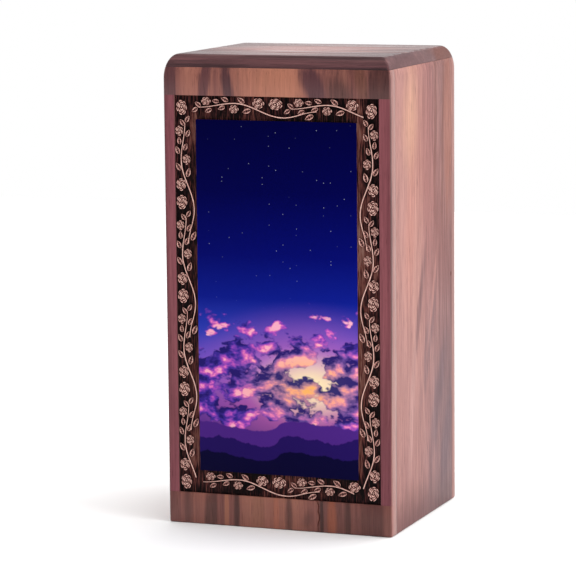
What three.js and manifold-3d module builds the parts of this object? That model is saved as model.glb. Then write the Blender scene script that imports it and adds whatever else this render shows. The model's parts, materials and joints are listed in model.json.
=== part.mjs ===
// A tall wooden cremation urn box with a rose-vine plate let into its front.
// Millimetres, +Z up, the front faces -Y, origin at the middle of the underside.

import * as THREE from 'three';
import { mergeVertices } from 'three/addons/utils/BufferGeometryUtils.js';
import Module from 'manifold-3d';

// Outer size of the box
const WIDTH = 140;
const DEPTH = 120;
const HEIGHT = 278;

// Round-over of the top edges, eased arrises and eased foot
const CROWN_IN = 7;
const CROWN_DOWN = 14;
const CROWN_STEPS = 6;
const ARRIS_RADIUS = 1.8;
const ARRIS_STEPS = 2;
const FOOT_EASE = 1.6;
const FOOT_STEPS = 1;

// Boards
const TOP_THICKNESS = 7.2;
const FRONT_THICKNESS = 9;
const BACK_THICKNESS = 7;
const SIDE_THICKNESS = 12;
const BASE_THICKNESS = 7;
const BASE_LAP = 7;
const GLUE_LINE = 0.3;

// Chipped spot on the rear right arris
const CHIP_HEIGHT = 16.4;
const CHIP_RADIUS = 1.5;

// Base screws
const SCREW_HEAD_RADIUS = 2.8;
const SCREW_SHANK_RADIUS = 1.4;
const SCREW_CONE = 1.6;
const SCREW_TIP = 2;
const SCREW_SINK = 0.4;
const SCREW_LENGTH = 16;
const SCREW_INSET = 14;
const SCREW_SIDES = 12;
const SCREW_CLEARANCE = 0.3;
const DRIVE_LENGTH = 3;
const DRIVE_WIDTH = 0.7;
const DRIVE_DEPTH = 0.9;

// Engraved plate: a burnt border recessed around a printed field left at full height
const PLATE_THICKNESS = 3;
const PLATE_BOTTOM = 18.8;
const PLATE_TOP = 254.2;
const BORDER_HALF_WIDTH = 63.2;
const FIELD_HALF_WIDTH = 49.7;
const FIELD_BOTTOM = 32.6;
const FIELD_TOP = 240.4;
const RELIEF = 1.2;
const VINE_BELOW_FACE = 0.05;
const ROOT_DEPTH = 0.5;

// Rose vine: one unit of it repeats along each side of the border.
// "along" runs down the sides and to the right, "out" points away from the vine's middle line.
const UNIT_PITCH = 55.5;
const ROW_PITCH = 57.5;
const SIDE_UNITS = 4;
const ROW_UNITS = 2;
const SIDE_STEM_END = 53;
const UPPER_STEM_END = 52;
const LOWER_STEM_END = 45;
const ROSE_PETALS = 7;
const PETAL_NOTCH = 0.88;
const BUD_SIDES = 5;
const BUD_SIZE = 0.56;
const PETAL_DROP = 0.5;
const LEAF_WIDTH_RATIO = 0.56;
const LEAF_STEPS = 3;
const STEM_STEPS = 13;
const STEM_THIN = 0.55;
const STEM_THICK = 1.3;
const MAIN_BLOOM = { along: 0, out: 2.7, long: 9, wide: 7.8 };
const UNIT_ROSES = [
  { along: 13.7, out: 3.8, long: 6, wide: 5.3 },
  { along: 30.5, out: -0.6, long: 6, wide: 5.3 },
  { along: 45.2, out: 3, long: 7.2, wide: 7 },
];
const UNIT_LEAVES = [
  { along: 6.9, out: -1.4, turn: -32, long: 4.3 },
  { along: 8.9, out: 1.9, turn: 36, long: 4.3 },
  { along: 15.2, out: -1.6, turn: -26, long: 4.5 },
  { along: 19.6, out: 3.9, turn: 6, long: 4.3 },
  { along: 23.2, out: 0, turn: -22, long: 4.5 },
  { along: 25.2, out: 5, turn: 24, long: 4.7 },
  { along: 34.9, out: 4.6, turn: 34, long: 5.2 },
  { along: 38.2, out: -1.6, turn: -17, long: 5.4 },
];
const TAIL_LEAF = { along: 20, out: -4.4, turn: -26, long: 5.8 };
const STEM_KNOTS = [[9.2, 0.2], [31, 2.8], [60, -5], [80, -1.2]];
const CORNER_ROSE = { aside: 58.6, long: 9.4, wide: 7.8 };

// Places worked out from the driving sizes
const HALF_WIDTH = WIDTH / 2;
const HALF_DEPTH = DEPTH / 2;
const SEAM = HEIGHT - TOP_THICKNESS;
const WALL_TOP = SEAM - GLUE_LINE;
const FRONT_INSIDE = -HALF_DEPTH + FRONT_THICKNESS;
const BACK_INSIDE = HALF_DEPTH - BACK_THICKNESS;
const PLATE_BACK = -HALF_DEPTH + PLATE_THICKNESS;
const GROUND = -HALF_DEPTH + RELIEF;
const BORDER_LINE = (BORDER_HALF_WIDTH + FIELD_HALF_WIDTH) / 2;
const UPPER_LINE = (PLATE_TOP + FIELD_TOP) / 2;
const LOWER_LINE = UPPER_LINE - SIDE_UNITS * UNIT_PITCH;

const wasm = await Module();
wasm.setup();

// A closed solid from a three.js geometry.
function solidOf(geometry) {
  const bare = geometry.clone();
  bare.deleteAttribute('normal');
  bare.deleteAttribute('uv');
  const merged = mergeVertices(bare, 1e-4);
  return new wasm.Manifold(new wasm.Mesh({
    numProp: 3,
    vertProperties: new Float32Array(merged.attributes.position.array),
    triVerts: new Uint32Array(merged.index.array),
  }));
}

// A three.js geometry from a closed solid.
function geometryOf(solid) {
  const mesh = solid.getMesh();
  const geometry = new THREE.BufferGeometry();
  geometry.setAttribute('position', new THREE.BufferAttribute(mesh.vertProperties, 3));
  geometry.setIndex(new THREE.BufferAttribute(mesh.triVerts, 1));
  geometry.computeVertexNormals();
  return geometry;
}

// A rectangular block between two corners.
function block(low, high) {
  const size = high.map((value, axis) => value - low[axis]);
  const middle = high.map((value, axis) => (value + low[axis]) / 2);
  return solidOf(new THREE.BoxGeometry(...size).translate(...middle));
}

// An upright face of the box: straight sides, a quarter-ellipse at each top corner, an eased foot.
function faceProfile(halfWidth) {
  const points = [];
  const addArc = (steps, place) => {
    for (let step = 0; step <= steps; step += 1) {
      points.push(place((step / steps) * (Math.PI / 2)));
    }
  };
  const spring = HEIGHT - CROWN_DOWN;
  const flat = halfWidth - CROWN_IN;
  addArc(CROWN_STEPS, (a) => new THREE.Vector2(
    flat + CROWN_IN * Math.cos(a),
    spring + CROWN_DOWN * Math.sin(a),
  ));
  addArc(CROWN_STEPS, (a) => new THREE.Vector2(
    -flat - CROWN_IN * Math.sin(a),
    spring + CROWN_DOWN * Math.cos(a),
  ));
  const heel = halfWidth - FOOT_EASE;
  addArc(FOOT_STEPS, (a) => new THREE.Vector2(
    -heel - FOOT_EASE * Math.cos(a),
    FOOT_EASE - FOOT_EASE * Math.sin(a),
  ));
  addArc(FOOT_STEPS, (a) => new THREE.Vector2(
    heel + FOOT_EASE * Math.sin(a),
    FOOT_EASE - FOOT_EASE * Math.cos(a),
  ));
  return new THREE.Shape(points);
}

// The plan of the box with its upright arrises rounded.
function planProfile() {
  const x = HALF_WIDTH - ARRIS_RADIUS;
  const y = HALF_DEPTH - ARRIS_RADIUS;
  const quarter = Math.PI / 2;
  return new THREE.Shape()
    .absarc(x, y, ARRIS_RADIUS, 0, quarter)
    .absarc(-x, y, ARRIS_RADIUS, quarter, 2 * quarter)
    .absarc(-x, -y, ARRIS_RADIUS, 2 * quarter, 3 * quarter)
    .absarc(x, -y, ARRIS_RADIUS, 3 * quarter, 4 * quarter);
}

// The outside of the whole box, which every board is trimmed to.
function outerForm() {
  const across = new THREE.ExtrudeGeometry(faceProfile(HALF_WIDTH), { depth: DEPTH, bevelEnabled: false })
    .translate(0, 0, -HALF_DEPTH)
    .rotateX(Math.PI / 2);
  const along = new THREE.ExtrudeGeometry(faceProfile(HALF_DEPTH), { depth: WIDTH, bevelEnabled: false })
    .translate(0, 0, -HALF_WIDTH)
    .rotateX(Math.PI / 2)
    .rotateZ(Math.PI / 2);
  const upright = new THREE.ExtrudeGeometry(planProfile(), {
    depth: HEIGHT,
    bevelEnabled: false,
    curveSegments: ARRIS_STEPS,
  });
  return solidOf(across).intersect(solidOf(along)).intersect(solidOf(upright));
}

// A turned shape about the Z axis through a point, from its [radius, height] profile.
function turned(profile, x, y) {
  const points = profile.map(([radius, height]) => new THREE.Vector2(radius, height));
  const lathe = new THREE.LatheGeometry(points, SCREW_SIDES).rotateX(Math.PI / 2);
  return solidOf(lathe.translate(x, y, 0));
}

// The profile of a countersunk screw from the rim of its head to its tip, grown by a clearance.
function screwProfile(grow) {
  const shank = SCREW_SHANK_RADIUS + grow;
  const tip = SCREW_SINK + SCREW_LENGTH + grow;
  return [
    [SCREW_HEAD_RADIUS + grow, SCREW_SINK],
    [shank, SCREW_SINK + SCREW_CONE],
    [shank, tip - SCREW_TIP],
    [0, tip],
  ];
}

// One base screw with a cross recess in its head.
function baseScrew(x, y) {
  const reach = DRIVE_LENGTH / 2;
  const half = DRIVE_WIDTH / 2;
  const top = SCREW_SINK + DRIVE_DEPTH;
  return turned([[0, SCREW_SINK], ...screwProfile(0)], x, y)
    .subtract(block([x - reach, y - half, 0], [x + reach, y + half, top]))
    .subtract(block([x - half, y - reach, 0], [x + half, y + reach, top]));
}

// A flat shape on the plate's face: drawn in X and Z, standing from the ground up to a drop below the face.
function raised(shape, drop, steps) {
  const depth = RELIEF + ROOT_DEPTH - drop;
  const geometry = new THREE.ExtrudeGeometry(shape, { depth, bevelEnabled: false, curveSegments: steps });
  return solidOf(geometry.rotateX(Math.PI / 2).translate(0, GROUND + ROOT_DEPTH, 0));
}

// An oval ring of points round a place, every second one drawn in by the notch; heading is in radians.
function ringOutline(x, z, long, wide, heading, count, notch) {
  const points = [];
  for (let step = 0; step < count; step += 1) {
    const angle = (2 * step * Math.PI) / count;
    const reach = step % 2 === 0 ? 1 : notch;
    const forward = (reach * Math.cos(angle) * long) / 2;
    const aside = (reach * Math.sin(angle) * wide) / 2;
    points.push(new THREE.Vector2(
      x + forward * Math.cos(heading) - aside * Math.sin(heading),
      z + forward * Math.sin(heading) + aside * Math.cos(heading),
    ));
  }
  return new THREE.Shape(points);
}

// A rose: a ring of outer petals with the bud standing higher inside it.
function rose(x, z, long, wide, heading) {
  const petals = ringOutline(x, z, long, wide, heading, 2 * ROSE_PETALS, PETAL_NOTCH);
  const bud = ringOutline(x, z, long * BUD_SIZE, wide * BUD_SIZE, heading, BUD_SIDES, 1);
  return [
    raised(petals, PETAL_DROP, 1),
    raised(bud, VINE_BELOW_FACE, 1),
  ];
}

// A pointed leaf with its tip along the heading.
function leaf(x, z, long, heading) {
  const reach = new THREE.Vector2(Math.cos(heading), Math.sin(heading)).multiplyScalar(long / 2);
  const belly = new THREE.Vector2(-reach.y, reach.x).multiplyScalar(2 * LEAF_WIDTH_RATIO);
  const shape = new THREE.Shape()
    .moveTo(x - reach.x, z - reach.y)
    .quadraticCurveTo(x - belly.x, z - belly.y, x + reach.x, z + reach.y)
    .quadraticCurveTo(x + belly.x, z + belly.y, x - reach.x, z - reach.y);
  return raised(shape, VINE_BELOW_FACE, LEAF_STEPS);
}

// How far out the stem swings at a distance along the unit: half-cosine waves between its knots.
function stemSwing(along) {
  const last = STEM_KNOTS.length - 2;
  const index = Math.min(last, STEM_KNOTS.findIndex(([place], i) => i > 0 && along <= place) - 1);
  const [[from, low], [to, high]] = STEM_KNOTS.slice(index, index + 2);
  const share = (along - from) / (to - from);
  return low + ((high - low) * (1 - Math.cos(Math.PI * share))) / 2;
}

// A stem that swells to its middle, from its first knot to where it ends.
function stem(place, end) {
  const start = STEM_KNOTS[0][0];
  const full = STEM_KNOTS[STEM_KNOTS.length - 1][0];
  const left = [];
  const right = [];
  for (let step = 0; step <= STEM_STEPS; step += 1) {
    const along = start + ((end - start) * step) / STEM_STEPS;
    const swell = Math.sin((Math.PI * (along - start)) / (full - start));
    const half = (STEM_THIN + (STEM_THICK - STEM_THIN) * swell) / 2;
    const out = stemSwing(along);
    left.push(place(along, out + half));
    right.unshift(place(along, out - half));
  }
  return raised(new THREE.Shape(left.concat(right)), VINE_BELOW_FACE, 1);
}

// A run of vine units from one corner of the border; "stop" is where its last stem is cut off,
// and "firstPair" says whether the pair of leaves at its very start is there.
function vineRun({ origin, along, out, units, pitch, stop, firstPair }) {
  const stretch = pitch / UNIT_PITCH;
  const back = along.clone().negate();
  const side = Math.sign(back.x * out.y - back.y * out.x);
  const solids = [];
  for (let unit = 0; unit < units; unit += 1) {
    const place = (s, t) => origin.clone()
      .addScaledVector(along, (unit * UNIT_PITCH + s) * stretch)
      .addScaledVector(out, t);
    const addLeaf = (spec) => {
      const spot = place(spec.along, spec.out);
      const heading = back.angle() + side * THREE.MathUtils.degToRad(spec.turn);
      solids.push(leaf(spot.x, spot.y, spec.long * stretch, heading));
    };
    const addRose = (spec) => {
      const spot = place(spec.along, spec.out);
      solids.push(...rose(spot.x, spot.y, spec.long, spec.wide, back.angle()));
    };
    UNIT_ROSES.forEach(addRose);
    UNIT_LEAVES.slice(unit === 0 && !firstPair ? 2 : 0).forEach(addLeaf);
    if (unit > 0) {
      addRose(MAIN_BLOOM);
      addLeaf(TAIL_LEAF);
    }
    const lastKnot = STEM_KNOTS[STEM_KNOTS.length - 1][0];
    solids.push(stem(place, unit === units - 1 ? stop : lastKnot));
  }
  return solids;
}

// All of the carved vine: a run down each side, one along the top and one along the bottom.
function roseVine() {
  const down = new THREE.Vector2(0, -1);
  const up = new THREE.Vector2(0, 1);
  const right = new THREE.Vector2(1, 0);
  const solids = [-1, 1].flatMap((hand) => vineRun({
    origin: new THREE.Vector2(hand * BORDER_LINE, UPPER_LINE),
    along: down,
    out: new THREE.Vector2(hand, 0),
    units: SIDE_UNITS,
    pitch: UNIT_PITCH,
    stop: SIDE_STEM_END,
    firstPair: true,
  }));
  const rows = [
    { line: UPPER_LINE, stop: UPPER_STEM_END, firstPair: true },
    { line: LOWER_LINE, stop: LOWER_STEM_END, firstPair: false },
  ];
  rows.forEach(({ line, stop, firstPair }) => {
    const origin = new THREE.Vector2(-ROW_PITCH, line);
    const run = { origin, along: right, out: up, units: ROW_UNITS, pitch: ROW_PITCH, stop, firstPair };
    solids.push(...vineRun(run));
    [-1, 1].forEach((hand) => {
      const { aside, long, wide } = CORNER_ROSE;
      solids.push(...rose(hand * aside, line, long, wide, Math.PI / 2));
    });
  });
  return solids;
}

// The front plate: margins and printed field at full height, the border sunk with the vine standing in it.
function engravedPlate(form) {
  const border = block(
    [-BORDER_HALF_WIDTH, -DEPTH, PLATE_BOTTOM - 1],
    [BORDER_HALF_WIDTH, GROUND, PLATE_TOP + 1],
  );
  const field = block(
    [-FIELD_HALF_WIDTH, -HALF_DEPTH, FIELD_BOTTOM],
    [FIELD_HALF_WIDTH, GROUND + ROOT_DEPTH, FIELD_TOP],
  );
  const blank = block([-HALF_WIDTH, -HALF_DEPTH, PLATE_BOTTOM], [HALF_WIDTH, PLATE_BACK, PLATE_TOP]);
  const sunk = blank.intersect(form).subtract(border).add(field);
  return roseVine().reduce((plate, piece) => plate.add(piece), sunk);
}

// The front board with the housing that takes the plate.
function frontBoard(form) {
  const housing = block(
    [-WIDTH, -DEPTH, PLATE_BOTTOM - GLUE_LINE],
    [WIDTH, PLATE_BACK + GLUE_LINE, PLATE_TOP + GLUE_LINE],
  );
  return block([-HALF_WIDTH, -HALF_DEPTH, 0], [HALF_WIDTH, FRONT_INSIDE, WALL_TOP])
    .intersect(form)
    .subtract(housing);
}

// The back board, with the small chip out of its right arris.
function backBoard(form) {
  const chip = new THREE.IcosahedronGeometry(CHIP_RADIUS, 0)
    .translate(HALF_WIDTH, HALF_DEPTH, CHIP_HEIGHT);
  return block([-HALF_WIDTH, BACK_INSIDE, 0], [HALF_WIDTH, HALF_DEPTH, WALL_TOP])
    .intersect(form)
    .subtract(solidOf(chip));
}

// The middle of each base screw: two under each side board.
const screwRows = [FRONT_INSIDE + SCREW_INSET, BACK_INSIDE - SCREW_INSET];
const screwAside = HALF_WIDTH - SIDE_THICKNESS + BASE_LAP / 2;
const screwPlaces = [-1, 1].flatMap((hand) => screwRows.map((y) => ({ x: hand * screwAside, y })));

// Takes the screw holes out of a board, each open below.
function drilled(board) {
  const mouth = SCREW_HEAD_RADIUS + SCREW_CLEARANCE;
  const profile = [[0, -1], [mouth, -1], ...screwProfile(SCREW_CLEARANCE)];
  return screwPlaces.reduce((rest, { x, y }) => rest.subtract(turned(profile, x, y)), board);
}

// A side board between the front and back boards, rebated below for the base; hand is -1 left, 1 right.
function sideBoard(form, hand) {
  const outer = hand * HALF_WIDTH;
  const inner = hand * (HALF_WIDTH - SIDE_THICKNESS);
  const lap = inner + hand * BASE_LAP;
  const front = FRONT_INSIDE + GLUE_LINE;
  const back = BACK_INSIDE - GLUE_LINE;
  const span = (a, b) => [Math.min(a, b), Math.max(a, b)];
  const [low, high] = span(outer, inner);
  const [rebateLow, rebateHigh] = span(inner - hand, lap);
  const rebate = block([rebateLow, -DEPTH, -1], [rebateHigh, DEPTH, BASE_THICKNESS + GLUE_LINE]);
  return drilled(block([low, front, 0], [high, back, WALL_TOP]).intersect(form).subtract(rebate));
}

// The base board, lapped under both side boards.
function baseBoard() {
  const half = HALF_WIDTH - SIDE_THICKNESS + BASE_LAP - GLUE_LINE;
  return drilled(block(
    [-half, FRONT_INSIDE + GLUE_LINE, 0],
    [half, BACK_INSIDE - GLUE_LINE, BASE_THICKNESS],
  ));
}

const urn = new THREE.Group();

// Adds one named piece with its own finish to the urn.
function addPiece(name, solid, color, roughness, metalness = 0) {
  const mesh = new THREE.Mesh(
    geometryOf(solid),
    new THREE.MeshStandardMaterial({ color, roughness, metalness }),
  );
  mesh.name = name;
  urn.add(mesh);
}

const form = outerForm();
const crown = block([-HALF_WIDTH, -HALF_DEPTH, SEAM], [HALF_WIDTH, HALF_DEPTH, HEIGHT]).intersect(form);
addPiece('top_board', crown, 0x5a3a3a, 0.4);
addPiece('front_board', frontBoard(form), 0x7a5148, 0.45);
addPiece('engraved_plate', engravedPlate(form), 0x8a5550, 0.5);
addPiece('back_board', backBoard(form), 0x8c5f56, 0.45);
addPiece('left_side_board', sideBoard(form, -1), 0x9c6f66, 0.45);
addPiece('right_side_board', sideBoard(form, 1), 0x9c6f66, 0.45);
addPiece('base_board', baseBoard(), 0x7a5148, 0.6);
screwPlaces.forEach(({ x, y }, index) => {
  addPiece(`base_screw_${index + 1}`, baseScrew(x, y), 0xb59a5a, 0.35, 1);
});

export default urn;
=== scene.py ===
"""Cremation urn box: figured rosewood boards round a front plate with a carved rose vine and a printed sky.

Every length is in metres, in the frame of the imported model: +Z up, the front faces -Y.
"""

import json
import logging
import math
from dataclasses import dataclass, field, replace
from enum import Enum
from typing import Any, Callable, Optional, Union

import bpy
from mathutils import Matrix, Vector


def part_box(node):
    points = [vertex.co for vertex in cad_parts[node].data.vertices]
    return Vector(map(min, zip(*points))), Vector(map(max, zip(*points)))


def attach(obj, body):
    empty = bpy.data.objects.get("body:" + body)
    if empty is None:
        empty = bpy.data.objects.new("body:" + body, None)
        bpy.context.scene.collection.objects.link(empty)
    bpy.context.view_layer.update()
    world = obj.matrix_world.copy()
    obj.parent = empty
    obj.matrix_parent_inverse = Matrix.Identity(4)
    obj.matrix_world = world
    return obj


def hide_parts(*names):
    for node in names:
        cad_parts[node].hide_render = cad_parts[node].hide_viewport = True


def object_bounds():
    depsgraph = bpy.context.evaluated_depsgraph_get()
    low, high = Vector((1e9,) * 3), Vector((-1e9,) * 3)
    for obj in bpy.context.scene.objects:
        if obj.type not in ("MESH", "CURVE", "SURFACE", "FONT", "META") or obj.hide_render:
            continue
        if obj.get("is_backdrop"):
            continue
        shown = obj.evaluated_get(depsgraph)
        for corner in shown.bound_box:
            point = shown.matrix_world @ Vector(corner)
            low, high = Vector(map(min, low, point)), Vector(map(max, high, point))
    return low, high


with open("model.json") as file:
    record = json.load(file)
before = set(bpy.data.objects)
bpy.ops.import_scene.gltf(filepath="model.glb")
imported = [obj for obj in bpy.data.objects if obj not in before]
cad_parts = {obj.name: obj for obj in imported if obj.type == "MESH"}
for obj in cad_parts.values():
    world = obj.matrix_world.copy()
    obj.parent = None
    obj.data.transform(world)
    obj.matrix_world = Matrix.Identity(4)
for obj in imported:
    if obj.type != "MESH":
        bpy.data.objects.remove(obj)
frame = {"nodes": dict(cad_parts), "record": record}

MM = 0.001
BODY = "root"
END_REACH = 60 * MM
EDGE_TILT = 0.8
TOP_TILT = 0.35
# Cut edges sharper than the first angle are eased. Faces within the others are shaded as one surface.
EASED_ANGLE = math.radians(62)
SMOOTH_ANGLE = math.radians(38)
DENT_ANGLE = math.radians(25)
RELIEF_ANGLE = math.radians(50)
LOG = logging.getLogger("urn")

Colour = tuple[float, float, float, float]
Place = Callable[[float, float], Vector]
Piece = bpy.types.Object
Socket = bpy.types.NodeSocket
Tree = bpy.types.NodeTree


def linear(code: str) -> Colour:
    """Turns an sRGB hex code into a linear colour.

    Args:
        code: Six hex digits, such as "8a5550".

    Returns:
        Red, green, blue and an alpha of 1.
    """
    parts = [int(code[i:i + 2], 16) / 255 for i in (0, 2, 4)]
    red, green, blue = [c / 12.92 if c <= 0.04045 else ((c + 0.055) / 1.055) ** 2.4 for c in parts]
    return red, green, blue, 1.0


def feed(tree: Tree, node: bpy.types.Node, inputs: dict[Union[str, int], Any]) -> None:
    """Links or sets a node's inputs.

    Args:
        tree: The tree that holds the node.
        node: The node.
        inputs: Input name or number to a socket, which is linked, or to a value, which is set.
    """
    for key, value in inputs.items():
        if isinstance(value, Socket):
            tree.links.new(value, node.inputs[key])
        else:
            node.inputs[key].default_value = value


def put(
    tree: Tree,
    kind: str,
    settings: Optional[dict[str, Any]] = None,
    inputs: Optional[dict[Union[str, int], Any]] = None,
    out: Union[str, int] = 0,
) -> Socket:
    """Adds a shader node with its settings and links.

    Args:
        tree: The tree that gets the node.
        kind: The node's type without its "ShaderNode".
        settings: Attributes to set; "stops" fills a colour ramp with (position, hex code) pairs.
        inputs: As for feed.
        out: The output to return, by name or number.

    Returns:
        That output socket.
    """
    node = tree.nodes.new(f"ShaderNode{kind}")
    for name, value in (settings or {}).items():
        if name != "stops":
            setattr(node, name, value)
            continue
        elements = node.color_ramp.elements
        while len(elements) < len(value):
            elements.new(1.0)
        for element, (position, code) in zip(elements, value):
            element.position = position
            element.color = linear(code)
    feed(tree, node, inputs or {})
    return node.outputs[out]


def blank_material(name: str) -> tuple[bpy.types.Material, Tree, bpy.types.Node]:
    """Makes a material with a plain shader.

    Args:
        name: The material's name.

    Returns:
        The material, its node tree and its shader node.
    """
    material = bpy.data.materials.new(name)
    material.use_nodes = True
    tree = material.node_tree
    return material, tree, tree.nodes["Principled BSDF"]


def along_grain(tree: Tree, vector: Socket, width: float, ratio: float) -> Socket:
    """Scales a place so that one unit is a width across the grain and ratio widths along it.

    Args:
        tree: The material's tree.
        vector: The place to scale.
        width: The pattern's width across the grain.
        ratio: How many widths long the pattern is.

    Returns:
        The scaled place.
    """
    scale = (1 / width, 1 / width, 1 / (width * ratio))
    return put(tree, "VectorMath", {"operation": "MULTIPLY"}, {0: vector, 1: scale})


class Grain(Enum):
    """Which way a board's grain runs: the turn that lays it along the pattern's Z axis."""

    UPRIGHT = (0.0, 0.0, 0.0)
    ACROSS = (0.0, math.radians(90), 0.0)


@dataclass(frozen=True)
class Patch:
    """A patch of another tone laid over a board's figure, mostly wood tone, a few painted highlights,
    reflections and shade: its middle, half sizes, lean and share of the colour.
    """

    middle: tuple[float, float, float]
    half: tuple[float, float, float]
    code: str
    share: float = 0.8
    lean: float = 0.0
    soft: float = 0.5
    ragged: float = 1.1


@dataclass(frozen=True)
class Rosewood:
    """Planed and oiled rosewood: long colour bands, fine streaks and short dark pores along the grain.

    The oil film gives it a satin gloss that turns pale where it is seen at a low angle.
    """

    name: str
    tones: tuple[tuple[float, str], ...]
    figure: tuple[tuple[float, str], ...]
    grain: Grain = Grain.UPRIGHT
    figure_axis: int = 0
    figure_span: tuple[float, float] = (-70 * MM, 70 * MM)
    figure_share: float = 0.6
    shift: tuple[float, float, float] = (0.0, 0.0, 0.0)
    drift: float = 38 * MM
    band: float = 9 * MM
    # The finest streaks are about 0.4 mm wide and the pores 0.15 mm. Both are drawn coarser, to show.
    streak: float = 1.3 * MM
    pore: float = 0.45 * MM
    wander: float = 5 * MM
    lines: float = 0.14
    patches: tuple[Patch, ...] = ()
    pore_share: float = 0.35
    roughness: float = 0.36
    gloss_swing: float = 0.06
    specular: float = 0.3
    bump: float = 0.05 * MM

    def material(self) -> bpy.types.Material:
        """Builds the wood.

        Returns:
            The finished material.
        """
        material, tree, shader = blank_material(self.name)
        place = put(tree, "TexCoord", out="Object")
        turned = put(tree, "Mapping", {}, {
            "Vector": place, "Rotation": self.grain.value, "Location": self.shift,
        })
        drift = put(tree, "TexNoise", {}, {
            "Vector": along_grain(tree, turned, self.drift, 3.4), "Scale": 1.0, "Detail": 2.0,
        }, out="Color")
        swing = put(tree, "VectorMath", {"operation": "MULTIPLY_ADD"}, {
            0: drift, 1: (2 * self.wander, 2 * self.wander, 0.0), 2: (-self.wander, -self.wander, 0.0),
        })
        warped = put(tree, "VectorMath", {"operation": "ADD"}, {0: turned, 1: swing})
        bands = put(tree, "TexNoise", {}, {
            "Vector": along_grain(tree, warped, self.band, 22.0), "Scale": 1.0, "Detail": 3.0,
        })
        streaks = put(tree, "TexNoise", {}, {
            "Vector": along_grain(tree, warped, self.streak, 42.0), "Scale": 1.0, "Detail": 3.0,
            "Roughness": 0.6,
        })
        pores = put(tree, "TexNoise", {}, {
            "Vector": along_grain(tree, turned, self.pore, 20.0), "Scale": 1.0, "Detail": 1.0,
        })
        mixed = put(tree, "Math", {"operation": "MULTIPLY_ADD"}, {0: streaks, 1: 0.62, 2: bands})
        tone = put(tree, "MapRange", {}, {"Value": mixed, "From Min": 0.52, "From Max": 1.08})
        ground = put(tree, "ValToRGB", {"stops": self.tones}, {"Fac": tone})
        axes = put(tree, "SeparateXYZ", {}, {"Vector": place}, out=self.figure_axis)
        offset = put(tree, "SeparateXYZ", {}, {"Vector": swing}, out=0)
        across = put(tree, "Math", {"operation": "ADD"}, {0: axes, 1: offset})
        share = put(tree, "MapRange", {}, {
            "Value": across, "From Min": self.figure_span[0], "From Max": self.figure_span[1],
        })
        figure = put(tree, "ValToRGB", {"stops": self.figure}, {"Fac": share})
        coloured = put(tree, "Mix", {"data_type": "RGBA"}, {
            0: self.figure_share, 6: ground, 7: figure,
        }, out=2)
        nudged = put(tree, "VectorMath", {"operation": "MULTIPLY_ADD"}, {
            0: swing, 1: (0.5, 0.5, 0.5), 2: place,
        })
        ragged = put(tree, "Math", {"operation": "SUBTRACT"}, {0: mixed, 1: 0.81})
        for patch in self.patches:
            coloured = self.patched(tree, patch, nudged, ragged, coloured)
        contrast = put(tree, "MapRange", {}, {
            "Value": streaks, "From Min": 0.3, "From Max": 0.7,
            "To Min": 1 - self.lines, "To Max": 1 + self.lines,
        })
        lined = put(tree, "VectorMath", {"operation": "SCALE"}, {0: coloured, "Scale": contrast})
        holes = put(tree, "MapRange", {}, {
            "Value": pores, "From Min": 0.6, "From Max": 0.74, "To Max": self.pore_share,
        })
        final = put(tree, "Mix", {"data_type": "RGBA", "blend_type": "MULTIPLY"}, {
            0: holes, 6: lined, 7: linear("6a4a44"),
        }, out=2)
        height = put(tree, "Math", {"operation": "MULTIPLY_ADD"}, {0: holes, 1: -1.6, 2: streaks})
        gloss = put(tree, "MapRange", {}, {
            "Value": streaks, "From Min": 0.3, "From Max": 0.7,
            "To Min": self.roughness + self.gloss_swing, "To Max": self.roughness - self.gloss_swing,
        })
        feed(tree, shader, {
            "Base Color": final,
            "Roughness": gloss,
            "IOR": 1.5,
            "Specular IOR Level": self.specular,
            "Normal": put(tree, "Bump", {}, {"Height": height, "Strength": 0.6, "Distance": self.bump}),
        })
        return material

    def patched(
        self, tree: Tree, patch: Patch, place: Socket, ragged: Socket, under: Socket,
    ) -> Socket:
        """Lays one patch over the wood's colour, torn into streaks at its rim.

        Args:
            tree: The material's tree.
            patch: The patch.
            place: The place on the board.
            ragged: The streaks that tear its rim, about zero.
            under: The colour under it.

        Returns:
            The colour with the patch.
        """
        axis = 1 - self.figure_axis
        turn = [0.0, 0.0, 0.0]
        turn[axis] = math.radians(patch.lean)
        local = put(tree, "Mapping", {"vector_type": "TEXTURE"}, {
            "Vector": place,
            "Location": [value * MM for value in patch.middle],
            "Rotation": turn,
            "Scale": [value * MM for value in patch.half],
        })
        distance = put(tree, "VectorMath", {"operation": "LENGTH"}, {0: local}, out="Value")
        torn = put(tree, "Math", {"operation": "MULTIPLY_ADD"}, {0: ragged, 1: patch.ragged, 2: distance})
        share = put(tree, "MapRange", {"interpolation_type": "SMOOTHSTEP"}, {
            "Value": torn, "From Min": 1 - patch.soft, "From Max": 1.0 + patch.soft / 3,
            "To Min": patch.share, "To Max": 0.0,
        })
        return put(tree, "Mix", {"data_type": "RGBA"}, {0: share, 6: under, 7: linear(patch.code)}, out=2)


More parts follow.
